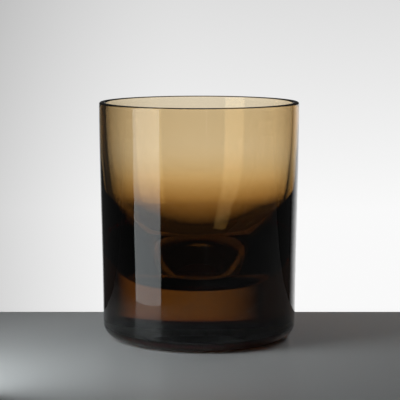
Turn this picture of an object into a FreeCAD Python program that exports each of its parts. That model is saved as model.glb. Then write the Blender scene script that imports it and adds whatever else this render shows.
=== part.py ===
import FreeCAD, Part
import math
import os

# Heavy-based whiskey tumbler in cased glass, millimetres.
# +Z is up. The origin is the centre of the ring that the glass stands on.
# Two pieces of glass are fused face to face: a smoke-grey core, which forms the bowl and the
# thick base, and an amber overlay, gathered over the outside and drawn thin towards the lip.

# ---- driving dimensions ----

# outside
HEIGHT = 100.0
LIP_RADIUS = 42.3
BASE_RADIUS = 41.1
HEEL_ROUND = 6.0

# lip: cut flat, with its two edges rounded by the fire
LIP_THICKNESS = 2.7
LIP_EDGE_ROUND = 0.75

# bowl: a nearly straight side, a shoulder that leads inwards, and a round corner to a flat floor
BOWL_SIDE_ROUND = 330.0
BOWL_SHOULDER_BELOW_RIM = 36.0
BOWL_SHOULDER_ROUND = 52.0
BOWL_CORNER_ROUND = 14.0
FLOOR_FLAT_RADIUS = 12.5
FLOOR_HEIGHT = 22.9

# amber overlay: full thickness up to the low shoulder, drawn thin above the high one
OVERLAY_AT_BASE = 3.0
OVERLAY_AT_LIP = 0.85
OVERLAY_LOW_SHOULDER = 36.0
OVERLAY_HIGH_SHOULDER_BELOW_RIM = 20.0
OVERLAY_UNDER_BASE = 4.0
OVERLAY_HEEL_ROUND = 3.0

# ground and polished hollow under the base
PUNT_RADIUS = 14.2
PUNT_DEPTH = 1.2
PUNT_EDGE_ROUND = 0.5

# how near an edge has to lie to its place to be taken for it
FIND_WITHIN = 0.01

# ---- places that follow from them ----

LIP_EDGE_HEIGHT = HEIGHT - LIP_EDGE_ROUND
LIP_OUTER_EDGE = (LIP_RADIUS - LIP_EDGE_ROUND, LIP_EDGE_HEIGHT)
MOUTH_RADIUS = LIP_RADIUS - LIP_THICKNESS
LIP_INNER_EDGE = (MOUTH_RADIUS + LIP_EDGE_ROUND, LIP_EDGE_HEIGHT)

# the seam between core and overlay comes out on the flat top of the lip
SEAM_LIP_RADIUS = LIP_RADIUS - OVERLAY_AT_LIP
SEAM_BASE_RADIUS = BASE_RADIUS - OVERLAY_AT_BASE
SEAM_HEEL_HEIGHT = OVERLAY_UNDER_BASE + OVERLAY_HEEL_ROUND
OVERLAY_HIGH_SHOULDER = HEIGHT - OVERLAY_HIGH_SHOULDER_BELOW_RIM


def point(radius, height):
    """A point of the outline, in the XZ plane."""
    return FreeCAD.Vector(radius, 0, height)


def around(centre, radius, degrees):
    """The point at an angle on a round, with 0 pointing outwards and 90 up."""
    turn = math.radians(degrees)
    return (centre[0] + radius * math.cos(turn), centre[1] + radius * math.sin(turn))


def line(start, end):
    return Part.LineSegment(point(*start), point(*end)).toShape()


def arc(centre, radius, start_degrees, end_degrees):
    """A round stretch, by the angles of its two ends as seen from its centre."""
    middle_degrees = (start_degrees + end_degrees) / 2
    ends = [around(centre, radius, degrees) for degrees in (start_degrees, middle_degrees, end_degrees)]
    return Part.Arc(*[point(*end) for end in ends]).toShape()


def side(low, high):
    """A side that is upright at both ends and leans outwards between them in one gentle S."""
    third = (high[1] - low[1]) / 3
    curve = Part.BezierCurve()
    curve.setPoles(
        [
            point(*low),
            point(low[0], low[1] + third),
            point(high[0], high[1] - third),
            point(*high),
        ]
    )
    return curve.toShape()


def outside_radius(height):
    """The radius of the outside at a height between the heel and the lip, on the same S as side()."""
    share = (height - HEEL_ROUND) / (LIP_EDGE_HEIGHT - HEEL_ROUND)
    return BASE_RADIUS + (LIP_RADIUS - BASE_RADIUS) * share**2 * (3 - 2 * share)


def turned(edges):
    """The solid that an outline makes when it is turned about the glass's own axis."""
    face = Part.Face(Part.Wire(Part.__sortEdges__(edges)))
    return face.revolve(FreeCAD.Vector(0, 0, 0), FreeCAD.Vector(0, 0, 1), 360)


# ---- outlines ----


def seam():
    """The fused face that both pieces share, from the axis under the base to the top of the lip."""
    heel_centre = (SEAM_BASE_RADIUS - OVERLAY_HEEL_ROUND, SEAM_HEEL_HEIGHT)
    heel_top = (SEAM_BASE_RADIUS, SEAM_HEEL_HEIGHT)
    low = (outside_radius(OVERLAY_LOW_SHOULDER) - OVERLAY_AT_BASE, OVERLAY_LOW_SHOULDER)
    high = (outside_radius(OVERLAY_HIGH_SHOULDER) - OVERLAY_AT_LIP, OVERLAY_HIGH_SHOULDER)
    return [
        line((0, OVERLAY_UNDER_BASE), (heel_centre[0], OVERLAY_UNDER_BASE)),
        arc(heel_centre, OVERLAY_HEEL_ROUND, -90, 0),
        line(heel_top, low),
        side(low, high),
        line(high, (SEAM_LIP_RADIUS, HEIGHT)),
    ]


def bowl():
    """The inside of the glass: upright at the mouth, and every stretch runs smoothly into the next."""
    side_centre = (MOUTH_RADIUS - BOWL_SIDE_ROUND, LIP_EDGE_HEIGHT)
    side_drop = BOWL_SHOULDER_BELOW_RIM - LIP_EDGE_ROUND
    shoulder_lean = -math.degrees(math.asin(side_drop / BOWL_SIDE_ROUND))
    shoulder_centre = around(side_centre, BOWL_SIDE_ROUND - BOWL_SHOULDER_ROUND, shoulder_lean)
    corner_centre = (FLOOR_FLAT_RADIUS, FLOOR_HEIGHT + BOWL_CORNER_ROUND)

    # the straight slope touches the shoulder above it and the corner below it
    across = shoulder_centre[0] - corner_centre[0]
    rise = shoulder_centre[1] - corner_centre[1]
    turn = math.asin((BOWL_SHOULDER_ROUND - BOWL_CORNER_ROUND) / math.hypot(across, rise))
    slope_lean = -math.degrees(math.atan2(across, rise) + turn)
    slope_top = around(shoulder_centre, BOWL_SHOULDER_ROUND, slope_lean)
    slope_foot = around(corner_centre, BOWL_CORNER_ROUND, slope_lean)
    return [
        line((0, FLOOR_HEIGHT), (FLOOR_FLAT_RADIUS, FLOOR_HEIGHT)),
        arc(corner_centre, BOWL_CORNER_ROUND, -90, slope_lean),
        line(slope_foot, slope_top),
        arc(shoulder_centre, BOWL_SHOULDER_ROUND, slope_lean, shoulder_lean),
        arc(side_centre, BOWL_SIDE_ROUND, shoulder_lean, 0),
    ]


# ---- pieces ----


def smoke_core():
    """The inner gather: the lining of the wall, the bowl and most of the heavy base."""
    lip = [
        line((SEAM_LIP_RADIUS, HEIGHT), (LIP_INNER_EDGE[0], HEIGHT)),
        arc(LIP_INNER_EDGE, LIP_EDGE_ROUND, 90, 180),
    ]
    axis = line((0, OVERLAY_UNDER_BASE), (0, FLOOR_HEIGHT))
    return turned(seam() + lip + bowl() + [axis])


def amber_overlay():
    """The coloured outer gather, with the heel, the ground ring it stands on and the polished hollow."""
    punt_round = (PUNT_RADIUS**2 + PUNT_DEPTH**2) / (2 * PUNT_DEPTH)
    punt_edge = 90 - math.degrees(math.asin(PUNT_RADIUS / punt_round))
    heel_centre = (BASE_RADIUS - HEEL_ROUND, HEEL_ROUND)
    outside = [
        arc((0, PUNT_DEPTH - punt_round), punt_round, 90, punt_edge),
        line((PUNT_RADIUS, 0), (heel_centre[0], 0)),
        arc(heel_centre, HEEL_ROUND, -90, 0),
        side((BASE_RADIUS, HEEL_ROUND), (LIP_RADIUS, LIP_EDGE_HEIGHT)),
        arc(LIP_OUTER_EDGE, LIP_EDGE_ROUND, 0, 90),
        line((LIP_OUTER_EDGE[0], HEIGHT), (SEAM_LIP_RADIUS, HEIGHT)),
    ]
    axis = line((0, PUNT_DEPTH), (0, OVERLAY_UNDER_BASE))
    shell = turned(outside + seam() + [axis])
    return shell.makeFillet(PUNT_EDGE_ROUND, [punt_rim(shell)])


def punt_rim(shell):
    """The circle where the polished hollow meets the ring that the glass stands on."""
    for edge in shell.Edges:
        if edge.Degenerated or not isinstance(edge.Curve, Part.Circle):
            continue
        circle = edge.Curve
        if abs(circle.Radius - PUNT_RADIUS) < FIND_WITHIN and abs(circle.Center.z) < FIND_WITHIN:
            return edge
    raise ValueError("the rim of the polished hollow was not found")


os.makedirs("parts", exist_ok=True)
PIECES = {"smoke_core": smoke_core(), "amber_overlay": amber_overlay()}
for name, solid in PIECES.items():
    solid.exportStep(f"parts/{name}.step")
    print(name, "valid", solid.isValid(), "solids", len(solid.Solids), "mm3", round(solid.Volume))
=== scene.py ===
import math

import bmesh
import bpy
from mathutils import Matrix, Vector


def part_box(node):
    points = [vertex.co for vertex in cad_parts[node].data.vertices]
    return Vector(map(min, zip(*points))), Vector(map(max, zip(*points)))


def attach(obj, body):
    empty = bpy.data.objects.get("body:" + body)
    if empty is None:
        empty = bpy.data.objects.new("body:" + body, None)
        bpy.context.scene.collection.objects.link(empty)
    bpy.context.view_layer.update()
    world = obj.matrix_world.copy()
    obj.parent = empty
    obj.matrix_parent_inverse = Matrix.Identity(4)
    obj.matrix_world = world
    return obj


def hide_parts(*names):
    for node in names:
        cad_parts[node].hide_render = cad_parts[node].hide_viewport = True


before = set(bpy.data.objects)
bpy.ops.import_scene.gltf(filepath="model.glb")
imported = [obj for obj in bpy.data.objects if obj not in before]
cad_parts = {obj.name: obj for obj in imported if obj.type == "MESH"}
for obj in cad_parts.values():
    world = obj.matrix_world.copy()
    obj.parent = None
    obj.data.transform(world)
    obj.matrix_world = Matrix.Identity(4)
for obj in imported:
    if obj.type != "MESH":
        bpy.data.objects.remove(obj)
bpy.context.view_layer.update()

# A heavy-based whiskey tumbler in cased glass: an amber overlay fused over a smoke-grey core.
# Sizes of the glass are in millimetres until they go into a mesh. The studio is in metres.
MM = 0.001

# ---- sizes of the glass, the same as the CAD model's ----

overlay_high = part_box("amber_overlay")[1]
core_low, core_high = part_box("smoke_core")

HEIGHT = core_high.z / MM
LIP_RADIUS = overlay_high.x / MM
BASE_RADIUS = 41.1
HEEL_ROUND = 6.0

LIP_THICKNESS = 2.7
LIP_EDGE_ROUND = 0.75

BOWL_SIDE_ROUND = 330.0
BOWL_SHOULDER_BELOW_RIM = 36.0
BOWL_SHOULDER_ROUND = 52.0
BOWL_CORNER_ROUND = 14.0
FLOOR_FLAT_RADIUS = 12.5
FLOOR_HEIGHT = 22.9

OVERLAY_AT_BASE = 3.0
OVERLAY_LOW_SHOULDER = 36.0
OVERLAY_HIGH_SHOULDER_BELOW_RIM = 20.0
OVERLAY_UNDER_BASE = core_low.z / MM
OVERLAY_HEEL_ROUND = 3.0

PUNT_RADIUS = 14.2
PUNT_DEPTH = 1.2
PUNT_EDGE_ROUND = 0.5

# half of the hairline kept between the two pieces along their fused seam
HAIRLINE = 0.005

# places that follow from the sizes
LIP_EDGE_HEIGHT = HEIGHT - LIP_EDGE_ROUND
MOUTH_RADIUS = LIP_RADIUS - LIP_THICKNESS
SEAM_LIP_RADIUS = core_high.x / MM
OVERLAY_AT_LIP = LIP_RADIUS - SEAM_LIP_RADIUS
SEAM_BASE_RADIUS = BASE_RADIUS - OVERLAY_AT_BASE
OVERLAY_HIGH_SHOULDER = HEIGHT - OVERLAY_HIGH_SHOULDER_BELOW_RIM

# how finely the pieces are turned, and what counts as one point or as a sharp edge
SEGMENTS = 288
ONE_POINT_MM = 1e-6
ONE_POINT_M = 1e-7
SHARP_EDGE_DEGREES = 30

# ---- finish of the glass ----

SODA_LIME_IOR = 1.52
NO_BEND_IOR = 1.0

# Glass takes out of the light what its tint lacks, this strongly for each mm that light crosses.
AMBER_TINT = "#ecc82c"
AMBER_STRENGTH_PER_MM = 0.672
SMOKE_TINT = "#332566"
SMOKE_STRENGTH_PER_MM = 0.0271

# Fire-finished glass is never quite flat: it rolls in waves, twice as long round it as up it.
WAVE_LENGTH = 16.0 * MM
WAVE_SHARE_ACROSS = 0.5
WAVE_HEIGHT = 0.1 * MM
WAVE_DETAIL = 1.0

# Sliding about on tables scuffs the ring that the glass stands on, and nothing above it.
SCUFF_LENGTH = 0.8 * MM
SCUFF_ROUGHNESS = 0.3
SCUFFS_REACH = 0.02 * MM
SCUFF_DETAIL = 4.0

# ---- studio, in metres, degrees and radiance ----

WHITE = "#ffffff"

TABLE_BEHIND = 0.046
TABLE_TO_EACH_SIDE = 0.9
TABLE_IN_FRONT = 0.26
TABLE_THICK = 0.04
TABLE_COLOUR = "#d6d6d6"
TABLE_ROUGHNESS = 0.3

BACKDROP_BEHIND = 1.5
BACKDROP_RADIANCE = 0.95
BACKDROP_FOOT = -0.94
BACKDROP_FOOT_FULL = -0.29
BACKDROP_DIM_FROM = -0.15
BACKDROP_TOP = 0.15
BACKDROP_TOP_SHARE = 0.77
BACKDROP_LEFT = -0.8
BACKDROP_LEFT_FULL = 0.0
BACKDROP_RIGHT = 1.6
BACKDROP_RIGHT_FULL = 0.6

# A light's bearing from the glass is 0 behind it, 90 to its left and 180 in front of it.
STRIP_BEARING = 126.7
STRIP_AWAY = 0.125
STRIP_WIDE = 0.0675
STRIP_HIGH = 0.16
STRIP_RADIANCE = 2.448
STRIP_COLOUR = "#f5fdff"

TABLE_LIGHT_BEARING = -45
TABLE_LIGHT_AWAY = 0.35
TABLE_LIGHT_UP = 0.3
TABLE_LIGHT_AIM = (0.1, 0, 0)
TABLE_LIGHT_WIDE = 0.2
TABLE_LIGHT_RADIANCE = 1.8

SLIT_BEARING = 188
SLIT_AWAY = 0.5
SLIT_UP = 0.15
SLIT_AIM = (0, 0, 0.1)
SLIT_WIDE = 0.004
SLIT_HIGH = 0.3
SLIT_RADIANCE = 1.2

ROOM_RADIANCE = 0.035

CAMERA_AWAY = 0.64
CAMERA_UP = 0.14085
CAMERA_LOOKS_DOWN = 7.375
CAMERA_SHIFT = 0.0022
CAMERA_NEAREST = 0.01
LENS_MM = 136.19
SENSOR_MM = 36

# Light crosses eight faces on its way through both walls, and is mirrored inside the thick base.
GLASS_BOUNCES = 32
MIRROR_BOUNCES = 16
SEE_THROUGH_BOUNCES = 64


# ---- outlines: points as (radius, height), in millimetres ----


def around(centre, radius, degrees):
    """The point at an angle on a round, with 0 pointing outwards and 90 up."""
    turn = math.radians(degrees)
    return (centre[0] + radius * math.cos(turn), centre[1] + radius * math.sin(turn))


def arc(centre, radius, start, end, steps):
    """Points on a round stretch between two angles in degrees."""
    return [around(centre, radius, start + (end - start) * i / steps) for i in range(steps + 1)]


def line(start, end, steps):
    """Points on a straight stretch."""
    across = end[0] - start[0]
    rise = end[1] - start[1]
    return [(start[0] + across * i / steps, start[1] + rise * i / steps) for i in range(steps + 1)]


def gentle_s(share):
    """From 0 to 1 as share does, but level at both ends."""
    return share**2 * (3 - 2 * share)


def side(low, high, steps):
    """A side that is upright at both ends and leans between them in one gentle S."""
    points = []
    for i in range(steps + 1):
        share = i / steps
        radius = low[0] + (high[0] - low[0]) * gentle_s(share)
        points.append((radius, low[1] + (high[1] - low[1]) * share))
    return points


def outside_radius(height):
    """The radius of the outside at a height between the heel and the lip."""
    share = (height - HEEL_ROUND) / (LIP_EDGE_HEIGHT - HEEL_ROUND)
    return BASE_RADIUS + (LIP_RADIUS - BASE_RADIUS) * gentle_s(share)


def joined(*runs):
    """One outline from several runs, each starting where the last one ends."""
    points = []
    for run in runs:
        for p in run:
            if not points or math.dist(points[-1], p) > ONE_POINT_MM:
                points.append(p)
    return points


def seam_outline(shift):
    """The fused face, moved outwards by shift, so that the two pieces never lie in one plane."""
    heel_centre = (SEAM_BASE_RADIUS - OVERLAY_HEEL_ROUND, OVERLAY_UNDER_BASE + OVERLAY_HEEL_ROUND)
    heel_top = (SEAM_BASE_RADIUS + shift, heel_centre[1])
    under = OVERLAY_UNDER_BASE - shift
    low_radius = outside_radius(OVERLAY_LOW_SHOULDER) - OVERLAY_AT_BASE
    high_radius = outside_radius(OVERLAY_HIGH_SHOULDER) - OVERLAY_AT_LIP
    low = (low_radius + shift, OVERLAY_LOW_SHOULDER)
    high = (high_radius + shift, OVERLAY_HIGH_SHOULDER)
    return joined(
        line((0, under), (heel_centre[0], under), steps=6),
        arc(heel_centre, OVERLAY_HEEL_ROUND + shift, -90, 0, steps=8),
        line(heel_top, low, steps=6),
        side(low, high, steps=16),
        line(high, (SEAM_LIP_RADIUS + shift, HEIGHT), steps=3),
    )


def bowl_outline():
    """The inside of the glass, from the lip down to the axis, as one smooth run."""
    side_centre = (MOUTH_RADIUS - BOWL_SIDE_ROUND, LIP_EDGE_HEIGHT)
    side_drop = BOWL_SHOULDER_BELOW_RIM - LIP_EDGE_ROUND
    shoulder_lean = -math.degrees(math.asin(side_drop / BOWL_SIDE_ROUND))
    shoulder_centre = around(side_centre, BOWL_SIDE_ROUND - BOWL_SHOULDER_ROUND, shoulder_lean)
    corner_centre = (FLOOR_FLAT_RADIUS, FLOOR_HEIGHT + BOWL_CORNER_ROUND)

    # the straight slope touches the shoulder above it and the corner below it
    across = shoulder_centre[0] - corner_centre[0]
    rise = shoulder_centre[1] - corner_centre[1]
    turn = math.asin((BOWL_SHOULDER_ROUND - BOWL_CORNER_ROUND) / math.hypot(across, rise))
    slope_lean = -math.degrees(math.atan2(across, rise) + turn)
    slope_top = around(shoulder_centre, BOWL_SHOULDER_ROUND, slope_lean)
    slope_foot = around(corner_centre, BOWL_CORNER_ROUND, slope_lean)
    return joined(
        arc(side_centre, BOWL_SIDE_ROUND, 0, shoulder_lean, steps=20),
        arc(shoulder_centre, BOWL_SHOULDER_ROUND, shoulder_lean, slope_lean, steps=30),
        line(slope_top, slope_foot, steps=8),
        arc(corner_centre, BOWL_CORNER_ROUND, slope_lean, -90, steps=30),
        line((FLOOR_FLAT_RADIUS, FLOOR_HEIGHT), (0, FLOOR_HEIGHT), steps=5),
    )


def underside_outline():
    """The polished hollow with its rounded edge, then the flat ring, then the heel."""
    dish_round = (PUNT_RADIUS**2 + PUNT_DEPTH**2) / (2 * PUNT_DEPTH)
    dish_centre = (0, PUNT_DEPTH - dish_round)

    # the rounded edge rests on the flat ring's plane and touches the dish from outside
    edge_rise = PUNT_EDGE_ROUND - dish_centre[1]
    edge_radius = math.sqrt((dish_round + PUNT_EDGE_ROUND) ** 2 - edge_rise**2)
    edge_centre = (edge_radius, PUNT_EDGE_ROUND)
    meet = math.degrees(math.atan2(edge_rise, edge_radius))
    heel_centre = (BASE_RADIUS - HEEL_ROUND, HEEL_ROUND)
    return joined(
        arc(dish_centre, dish_round, 90, meet, steps=10),
        arc(edge_centre, PUNT_EDGE_ROUND, meet - 180, -90, steps=6),
        line((edge_radius, 0), (heel_centre[0], 0), steps=6),
        arc(heel_centre, HEEL_ROUND, -90, 0, steps=24),
    )


def overlay_outline():
    """The overlay's own surface, from the axis up to the lip, and the seam back to the axis."""
    lip_edge_centre = (LIP_RADIUS - LIP_EDGE_ROUND, LIP_EDGE_HEIGHT)
    polished = joined(
        underside_outline(),
        side((BASE_RADIUS, HEEL_ROUND), (LIP_RADIUS, LIP_EDGE_HEIGHT), steps=60),
        arc(lip_edge_centre, LIP_EDGE_ROUND, 0, 90, steps=12),
        [(SEAM_LIP_RADIUS + HAIRLINE, HEIGHT)],
    )
    return polished, seam_outline(HAIRLINE)[::-1]


def core_outline():
    """The seam, from the axis up to the lip, and the core's own surface back to the axis."""
    lip_edge_centre = (MOUTH_RADIUS + LIP_EDGE_ROUND, LIP_EDGE_HEIGHT)
    polished = joined(
        [(SEAM_LIP_RADIUS - HAIRLINE, HEIGHT)],
        arc(lip_edge_centre, LIP_EDGE_ROUND, 90, 180, steps=12),
        bowl_outline(),
    )
    return seam_outline(-HAIRLINE), polished


# ---- helpers for nodes ----


def linear(hex_colour):
    """An sRGB hex colour as the linear numbers that a shader takes."""
    channels = []
    for i in (1, 3, 5):
        c = int(hex_colour[i : i + 2], 16) / 255
        channels.append(c / 12.92 if c <= 0.04045 else ((c + 0.055) / 1.055) ** 2.4)
    return (*channels, 1)


def add(tree, kind, settings=None, inputs=None):
    """Adds a node. settings are its own properties; inputs are values or sockets to link from."""
    node = tree.nodes.new(kind)
    for name, value in (settings or {}).items():
        setattr(node, name, value)
    for name, value in (inputs or {}).items():
        if isinstance(value, bpy.types.NodeSocket):
            tree.links.new(value, node.inputs[name])
        else:
            node.inputs[name].default_value = value
    return node


def bare_material(name):
    """A material with an empty node tree."""
    material = bpy.data.materials.new(name)
    material.use_nodes = True
    material.node_tree.nodes.clear()
    return material, material.node_tree


# ---- turning an outline into a piece ----


def lathe_tree():
    """Geometry Nodes: turns an outline, a string of points in the XZ plane, about the Z axis."""
    tree = bpy.data.node_groups.new("lathe", "GeometryNodeTree")
    sockets = tree.interface
    sockets.new_socket("Outline", in_out="INPUT", socket_type="NodeSocketGeometry")
    sockets.new_socket("Segments", in_out="INPUT", socket_type="NodeSocketInt")
    sockets.new_socket("Glass", in_out="INPUT", socket_type="NodeSocketMaterial")
    sockets.new_socket("Piece", in_out="OUTPUT", socket_type="NodeSocketGeometry")
    given = add(tree, "NodeGroupInput").outputs

    # a flat grid: a row for each point of the outline, with one more point in it than segments
    count = add(tree, "GeometryNodeAttributeDomainSize", inputs={"Geometry": given["Outline"]})
    row = add(tree, "ShaderNodeMath", {"operation": "ADD"}, {0: given["Segments"], 1: 1.0})
    grid = add(
        tree,
        "GeometryNodeMeshGrid",
        inputs={"Vertices X": count.outputs["Point Count"], "Vertices Y": row.outputs[0]},
    )
    index = add(tree, "GeometryNodeInputIndex").outputs[0]

    def row_number(per_row):
        """Which row a point or a face is in, from its own number and how many a row holds."""
        rows = add(tree, "ShaderNodeMath", {"operation": "DIVIDE"}, {0: index, 1: per_row})
        return add(tree, "ShaderNodeMath", {"operation": "FLOOR"}, {0: rows.outputs[0]}).outputs[0]

    # each grid point takes its outline point's place, turned by its own share of a full turn
    place = add(tree, "GeometryNodeInputPosition")
    outline_point = add(
        tree,
        "GeometryNodeSampleIndex",
        {"data_type": "FLOAT_VECTOR"},
        {
            "Geometry": given["Outline"],
            "Value": place.outputs[0],
            "Index": row_number(row.outputs[0]),
        },
    )
    step = add(tree, "ShaderNodeMath", {"operation": "MODULO"}, {0: index, 1: row.outputs[0]})
    share = add(
        tree,
        "ShaderNodeMath",
        {"operation": "DIVIDE"},
        {0: step.outputs[0], 1: given["Segments"]},
    )
    angle = add(
        tree,
        "ShaderNodeMath",
        {"operation": "MULTIPLY"},
        {0: share.outputs[0], 1: math.tau},
    )
    turned = add(
        tree,
        "ShaderNodeVectorRotate",
        {"rotation_type": "Z_AXIS"},
        {"Vector": outline_point.outputs[0], "Angle": angle.outputs[0]},
    )
    shaped = add(
        tree,
        "GeometryNodeSetPosition",
        inputs={"Geometry": grid.outputs["Mesh"], "Position": turned.outputs[0]},
    )

    # each face takes the mark of its stretch: 1 on the fused seam, 0 on the polished surface
    mark = add(tree, "GeometryNodeInputNamedAttribute", {"data_type": "FLOAT"}, {"Name": "fused"})
    outline_mark = add(
        tree,
        "GeometryNodeSampleIndex",
        {"data_type": "FLOAT"},
        {
            "Geometry": given["Outline"],
            "Value": mark.outputs[0],
            "Index": row_number(given["Segments"]),
        },
    )
    marked = add(
        tree,
        "GeometryNodeStoreNamedAttribute",
        {"data_type": "FLOAT", "domain": "FACE"},
        {"Geometry": shaped.outputs[0], "Name": "fused", "Value": outline_mark.outputs[0]},
    )

    # the first and last point of each row meet, and so do all points on the axis
    closed = add(
        tree,
        "GeometryNodeMergeByDistance",
        inputs={"Geometry": marked.outputs[0], "Distance": ONE_POINT_M},
    )
    smooth = add(tree, "GeometryNodeSetShadeSmooth", inputs={"Geometry": closed.outputs[0]})
    real = add(tree, "GeometryNodeRealizeInstances", inputs={"Geometry": smooth.outputs[0]})
    finished = add(
        tree,
        "GeometryNodeSetMaterial",
        inputs={"Geometry": real.outputs[0], "Material": given["Glass"]},
    )
    add(tree, "NodeGroupOutput", inputs={"Piece": finished.outputs[0]})
    return tree


LATHE = lathe_tree()


def outline_object(name, runs):
    """The outline as a string of points. runs are (points, 1 on the fused seam or else 0)."""
    points = joined(*[run for run, fused in runs])
    # each point is marked for the stretch that starts at it, and the last one starts none
    marks = [fused for run, fused in runs for _ in run[1:]] + [runs[-1][1]]
    mesh = bpy.data.meshes.new(name)
    mesh.from_pydata(
        [(radius * MM, 0, height * MM) for radius, height in points],
        [(i, i + 1) for i in range(len(points) - 1)],
        [],
    )
    mesh.attributes.new("fused", "FLOAT", "POINT").data.foreach_set("value", marks)
    outline = bpy.data.objects.new(name, mesh)
    bpy.context.scene.collection.objects.link(outline)
    return outline


def turn_piece(name, runs, glass):
    """One closed piece of glass, turned from its outline."""
    outline = outline_object(name + "_outline", runs)
    lathe = outline.modifiers.new("lathe", "NODES")
    lathe.node_group = LATHE
    settings = {"Segments": SEGMENTS, "Glass": glass}
    for item in LATHE.interface.items_tree:
        if item.item_type == "SOCKET" and item.in_out == "INPUT" and item.name in settings:
            lathe[item.identifier] = settings[item.name]
    depsgraph = bpy.context.evaluated_depsgraph_get()
    turned = bpy.data.meshes.new_from_object(
        outline.evaluated_get(depsgraph), preserve_all_data_layers=True, depsgraph=depsgraph
    )
    outline.modifiers.remove(lathe)
    bpy.data.objects.remove(outline)

    # faces point outwards
    work = bmesh.new()
    work.from_mesh(turned)
    bmesh.ops.recalc_face_normals(work, faces=work.faces)
    work.to_mesh(turned)
    work.free()
    turned.set_sharp_from_angle(angle=math.radians(SHARP_EDGE_DEGREES))
    turned.name = name
    piece = bpy.data.objects.new(name, turned)
    bpy.context.scene.collection.objects.link(piece)
    return piece


# ---- glass ----


def waves(tree, place):
    """The normal of a surface that rolls by some hundredths of a mm and makes reflections swim."""
    stretch = (WAVE_SHARE_ACROSS, WAVE_SHARE_ACROSS, 1.0)
    along = add(tree, "ShaderNodeVectorMath", {"operation": "MULTIPLY"}, {0: place, 1: stretch})
    rolls = add(
        tree,
        "ShaderNodeTexNoise",
        inputs={"Vector": along.outputs[0], "Scale": 1 / WAVE_LENGTH, "Detail": WAVE_DETAIL},
    )
    return add(
        tree,
        "ShaderNodeBump",
        inputs={"Height": rolls.outputs["Fac"], "Distance": WAVE_HEIGHT},
    ).outputs[0]


def scuffs(tree, place):
    """The roughness of fine patchy wear, which dulls the standing ring and nothing else."""
    height = add(tree, "ShaderNodeSeparateXYZ", inputs={0: place}).outputs["Z"]
    on_the_ring = add(
        tree,
        "ShaderNodeMapRange",
        {"interpolation_type": "SMOOTHSTEP"},
        {"Value": height, "From Min": SCUFFS_REACH, "From Max": 0.0, "To Max": SCUFF_ROUGHNESS},
    )
    patches = add(
        tree,
        "ShaderNodeTexNoise",
        inputs={"Vector": place, "Scale": 1 / SCUFF_LENGTH, "Detail": SCUFF_DETAIL},
    )
    return add(
        tree,
        "ShaderNodeMath",
        {"operation": "MULTIPLY"},
        {0: on_the_ring.outputs[0], 1: patches.outputs["Fac"]},
    ).outputs[0]


def fire_finished_glass(name, tint, strength_per_mm, worn_foot=False):
    """Soda-lime glass, coloured right through and polished by the fire.

    To the eye: sharp bright reflections that swim a little, a wall that bends what stands behind
    it, and a colour that deepens with the length of glass that the light has crossed.
    """
    material, tree = bare_material(name)
    place = add(tree, "ShaderNodeTexCoord").outputs["Object"]
    # glass fused to glass has no surface of its own, so the seam neither bends nor mirrors light
    seam = add(tree, "ShaderNodeAttribute", {"attribute_name": "fused"})
    bend = add(
        tree,
        "ShaderNodeMapRange",
        inputs={"Value": seam.outputs["Fac"], "To Min": SODA_LIME_IOR, "To Max": NO_BEND_IOR},
    )
    surface = add(
        tree,
        "ShaderNodeBsdfPrincipled",
        inputs={
            "Base Color": linear(WHITE),
            "Transmission Weight": 1.0,
            "Roughness": scuffs(tree, place) if worn_foot else 0.0,
            "IOR": bend.outputs[0],
            "Normal": waves(tree, place),
        },
    )
    depth = add(
        tree,
        "ShaderNodeVolumeAbsorption",
        inputs={"Color": linear(tint), "Density": strength_per_mm / MM},
    )
    add(
        tree,
        "ShaderNodeOutputMaterial",
        inputs={"Surface": surface.outputs[0], "Volume": depth.outputs[0]},
    )
    return material


# A thin strong layer: honey at the lip, whiskey brown through the wall and near black in the base.
amber_glass = fire_finished_glass(
    "fire_finished_amber_glass", AMBER_TINT, AMBER_STRENGTH_PER_MM, worn_foot=True
)
# A faint, almost neutral grey that only shows through the whole thick base.
smoke_glass = fire_finished_glass("fire_finished_smoke_glass", SMOKE_TINT, SMOKE_STRENGTH_PER_MM)


# ---- the two pieces ----

overlay_polished, overlay_seam = overlay_outline()
overlay = turn_piece(
    "amber_overlay_glass", [(overlay_polished, 0.0), (overlay_seam, 1.0)], amber_glass
)
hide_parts("amber_overlay")
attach(overlay, "root")

core_seam, core_polished = core_outline()
core = turn_piece("smoke_core_glass", [(core_seam, 1.0), (core_polished, 0.0)], smoke_glass)
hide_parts("smoke_core")
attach(core, "root")


# ---- table and backdrop ----


def stage_piece(name, corners, faces, material):
    """A piece of the studio, which isn't part of the glass."""
    mesh = bpy.data.meshes.new(name)
    mesh.from_pydata(corners, [], faces)
    mesh.materials.append(material)
    piece = bpy.data.objects.new(name, mesh)
    bpy.context.scene.collection.objects.link(piece)
    return piece


def satin_lacquered_board():
    """Pale board under satin lacquer: an even grey that mirrors the glass softly at its foot."""
    material, tree = bare_material("satin_lacquered_board")
    surface = add(
        tree,
        "ShaderNodeBsdfPrincipled",
        inputs={"Base Color": linear(TABLE_COLOUR), "Roughness": TABLE_ROUGHNESS},
    )
    add(tree, "ShaderNodeOutputMaterial", inputs={"Surface": surface.outputs[0]})
    return material


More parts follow.
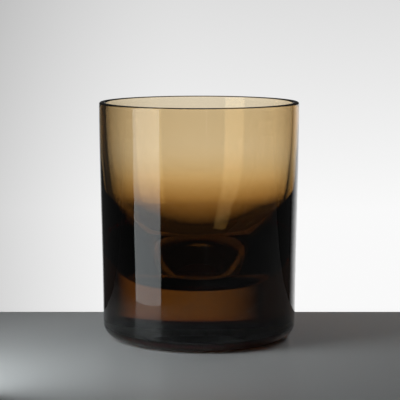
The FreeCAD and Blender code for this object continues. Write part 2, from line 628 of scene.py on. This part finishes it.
def backlit_paper():
    """Paper lit from behind: a soft white that dims upwards and dies away at its sides and foot."""
    material, tree = bare_material("backlit_paper")
    place = add(tree, "ShaderNodeNewGeometry").outputs["Position"]
    axes = add(tree, "ShaderNodeSeparateXYZ", inputs={0: place}).outputs
    # axis, place of the dim end, its share of the light, place where it is full, kind of slope
    fades = [
        ("Z", BACKDROP_FOOT, 0.0, BACKDROP_FOOT_FULL, "LINEAR"),
        ("Z", BACKDROP_TOP, BACKDROP_TOP_SHARE, BACKDROP_DIM_FROM, "LINEAR"),
        ("X", BACKDROP_LEFT, 0.0, BACKDROP_LEFT_FULL, "SMOOTHSTEP"),
        ("X", BACKDROP_RIGHT, 0.0, BACKDROP_RIGHT_FULL, "SMOOTHSTEP"),
    ]
    strength = BACKDROP_RADIANCE
    for axis, dim_end, share, full_from, slope in fades:
        fade = add(
            tree,
            "ShaderNodeMapRange",
            {"interpolation_type": slope},
            {"Value": axes[axis], "From Min": dim_end, "From Max": full_from, "To Min": share},
        )
        strength = add(
            tree,
            "ShaderNodeMath",
            {"operation": "MULTIPLY"},
            {0: fade.outputs[0], 1: strength},
        ).outputs[0]
    glow = add(tree, "ShaderNodeEmission", inputs={"Color": linear(WHITE), "Strength": strength})
    add(tree, "ShaderNodeOutputMaterial", inputs={"Surface": glow.outputs[0]})
    return material


def table_top():
    """A slab, its rear edge close behind the glass."""
    rim = [
        (-TABLE_TO_EACH_SIDE, -TABLE_IN_FRONT),
        (TABLE_TO_EACH_SIDE, -TABLE_IN_FRONT),
        (TABLE_TO_EACH_SIDE, TABLE_BEHIND),
        (-TABLE_TO_EACH_SIDE, TABLE_BEHIND),
    ]
    corners = [(x, y, z) for z in (-TABLE_THICK, 0) for x, y in rim]
    edges = [(i, (i + 1) % 4, (i + 1) % 4 + 4, i + 4) for i in range(4)]
    faces = [(3, 2, 1, 0), (4, 5, 6, 7)] + edges
    return stage_piece("table", corners, faces, satin_lacquered_board())


def backdrop():
    """An upright sheet behind the glass."""
    corners = [
        (BACKDROP_LEFT, BACKDROP_BEHIND, BACKDROP_FOOT),
        (BACKDROP_RIGHT, BACKDROP_BEHIND, BACKDROP_FOOT),
        (BACKDROP_RIGHT, BACKDROP_BEHIND, BACKDROP_TOP),
        (BACKDROP_LEFT, BACKDROP_BEHIND, BACKDROP_TOP),
    ]
    return stage_piece("backdrop", corners, [(0, 1, 2, 3)], backlit_paper())


table = table_top()
backdrop()


# ---- lights ----


def round_the_glass(bearing, away, height):
    """A place by its bearing from the glass: 0 is behind it, 90 is to its left, 180 is in front."""
    turn = math.radians(bearing)
    return (-away * math.sin(turn), away * math.cos(turn), height)


def softbox(name, place, aim, width, height, radiance, colour=WHITE):
    """An evenly lit rectangle at a place, facing aim."""
    light = bpy.data.lights.new(name, "AREA")
    light.color = linear(colour)[:3]
    light.shape = "RECTANGLE"
    light.size = width
    light.size_y = height
    light.energy = radiance * width * height * math.pi
    box = bpy.data.objects.new(name, light)
    box.location = place
    box.rotation_euler = (Vector(aim) - Vector(place)).to_track_quat("-Z", "Y").to_euler()
    bpy.context.scene.collection.objects.link(box)
    return box


# the long upright reflection down the left of the glass
softbox(
    "strip",
    round_the_glass(STRIP_BEARING, STRIP_AWAY, STRIP_HIGH / 2),
    (0, 0, STRIP_HIGH / 2),
    STRIP_WIDE,
    STRIP_HIGH,
    STRIP_RADIANCE,
    STRIP_COLOUR,
)

# a light with flags round it, so that it reaches the table and not the glass
table_light = softbox(
    "table_light",
    round_the_glass(TABLE_LIGHT_BEARING, TABLE_LIGHT_AWAY, TABLE_LIGHT_UP),
    TABLE_LIGHT_AIM,
    TABLE_LIGHT_WIDE,
    TABLE_LIGHT_WIDE,
    TABLE_LIGHT_RADIANCE,
)
lit_by_it = bpy.data.collections.new("lit_by_table_light")
lit_by_it.objects.link(table)
table_light.light_linking.receiver_collection = lit_by_it

# the hairline of light down the middle of the glass
softbox(
    "slit",
    round_the_glass(SLIT_BEARING, SLIT_AWAY, SLIT_UP),
    SLIT_AIM,
    SLIT_WIDE,
    SLIT_HIGH,
    SLIT_RADIANCE,
)

scene = bpy.context.scene

# what little light comes back from a dark room
world = bpy.data.worlds.new("studio")
world.use_nodes = True
room = world.node_tree.nodes["Background"]
room.inputs["Color"].default_value = linear(WHITE)
room.inputs["Strength"].default_value = ROOM_RADIANCE
scene.world = world

# ---- camera ----

camera_data = bpy.data.cameras.new("camera")
camera_data.sensor_width = SENSOR_MM
camera_data.lens = LENS_MM
camera_data.shift_x = CAMERA_SHIFT
camera_data.clip_start = CAMERA_NEAREST
camera = bpy.data.objects.new("camera", camera_data)
camera.location = (0, -CAMERA_AWAY, CAMERA_UP)
camera.rotation_euler = (math.radians(90 - CAMERA_LOOKS_DOWN), 0, 0)
scene.collection.objects.link(camera)
scene.camera = camera

scene.view_settings.view_transform = "Standard"
scene.cycles.max_bounces = GLASS_BOUNCES
scene.cycles.transmission_bounces = GLASS_BOUNCES
scene.cycles.transparent_max_bounces = SEE_THROUGH_BOUNCES
scene.cycles.glossy_bounces = MIRROR_BOUNCES
# light that the glass has bent or mirrored isn't blurred
scene.cycles.blur_glossy = 0.0
